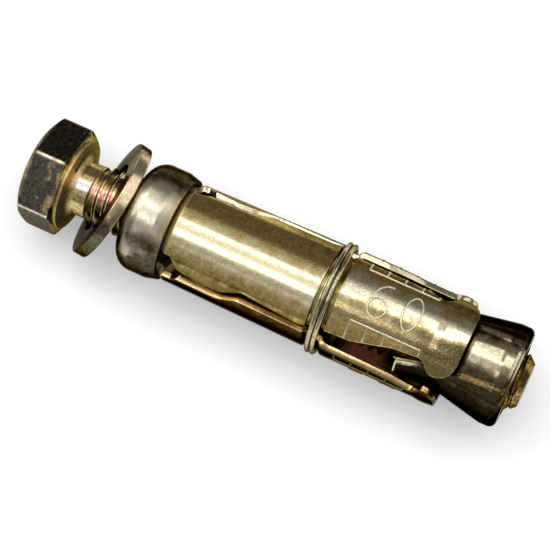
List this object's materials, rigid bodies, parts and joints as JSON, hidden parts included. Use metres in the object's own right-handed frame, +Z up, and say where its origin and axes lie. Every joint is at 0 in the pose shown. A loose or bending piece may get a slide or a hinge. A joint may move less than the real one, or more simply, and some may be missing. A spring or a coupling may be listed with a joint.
{
  "type": "shield anchor",
  "caption": "Loose-bolt masonry shield anchor: hexagon bolt, washer, ferrule, pressed shield segments held by a wire ring, and a ridged cone nut.",
  "frame": {"origin": "on the floor under the middle of the anchor's box, the anchor lying on its side", "axes": "+X along the bolt from its head to the cone nut, +Z up, -Y towards the viewer"},
  "size_m": [0.0662, 0.0158, 0.0149],
  "materials": {
    "hex_bolt": "yellow passivated zinc plating, stained dark on the head",
    "flat_washer": "yellow passivated zinc plating",
    "ferrule_cap": "zinc plating, mottled grey",
    "shield_segment": "yellow passivated zinc plating with fine scratches",
    "retaining_ring": "dark drawn wire",
    "cone_nut": "yellow passivated zinc plating, dark"
  },
  "bodies": {
    "shield_base": {"ferrule_cap": "ferrule_cap", "retaining_ring": "retaining_ring"},
    "bolt": {"hex_bolt": "hex_bolt"},
    "washer": {"flat_washer": "flat_washer"},
    "front_segment": {"shield_segment_front": "shield_segment"},
    "lower_segment": {"shield_segment_lower": "shield_segment"},
    "rear_segment": {"shield_segment_rear": "shield_segment"},
    "nut": {"cone_nut": "cone_nut"}
  },
  "joints": [
    {"name": "bolt_turn", "type": "hinge", "parent": "shield_base", "child": "bolt", "pos_m": [0, 0, 0.00746], "axis": [1, 0, 0], "range_deg": [0, 1728]},
    {"name": "nut_draw", "type": "slide", "parent": "shield_base", "child": "nut", "axis": [-1, 0, 0], "range_m": [0, 0.00601]},
    {"name": "washer_tip", "type": "hinge", "parent": "shield_base", "child": "washer", "pos_m": [-0.02295, 0, 0.00746], "axis": [0, 1, 0], "range_deg": [-24.8, 0]},
    {"name": "front_splay", "type": "hinge", "parent": "shield_base", "child": "front_segment", "pos_m": [-0.0151, -0.00044, 0.01327], "axis": [0, -0.9972, -0.075], "range_deg": [0, 1.71], "deforming": ["retaining_ring"]},
    {"name": "lower_splay", "type": "hinge", "parent": "shield_base", "child": "lower_segment", "pos_m": [-0.0151, -0.00482, 0.00418], "axis": [0, 0.5635, -0.8261], "range_deg": [0, 1.71]},
    {"name": "rear_splay", "type": "hinge", "parent": "shield_base", "child": "rear_segment", "pos_m": [-0.0151, 0.00525, 0.00493], "axis": [0, 0.4337, 0.9011], "range_deg": [0, 1.71]}
  ],
  "couplings": [
    {"joint": "nut_draw", "follows": "bolt_turn", "m_per_rad": 0.00019894},
    {"joint": "front_splay", "follows": "bolt_turn", "ratio": 0.00098379},
    {"joint": "lower_splay", "follows": "bolt_turn", "ratio": 0.00098379},
    {"joint": "rear_splay", "follows": "bolt_turn", "ratio": 0.00098379}
  ]
}
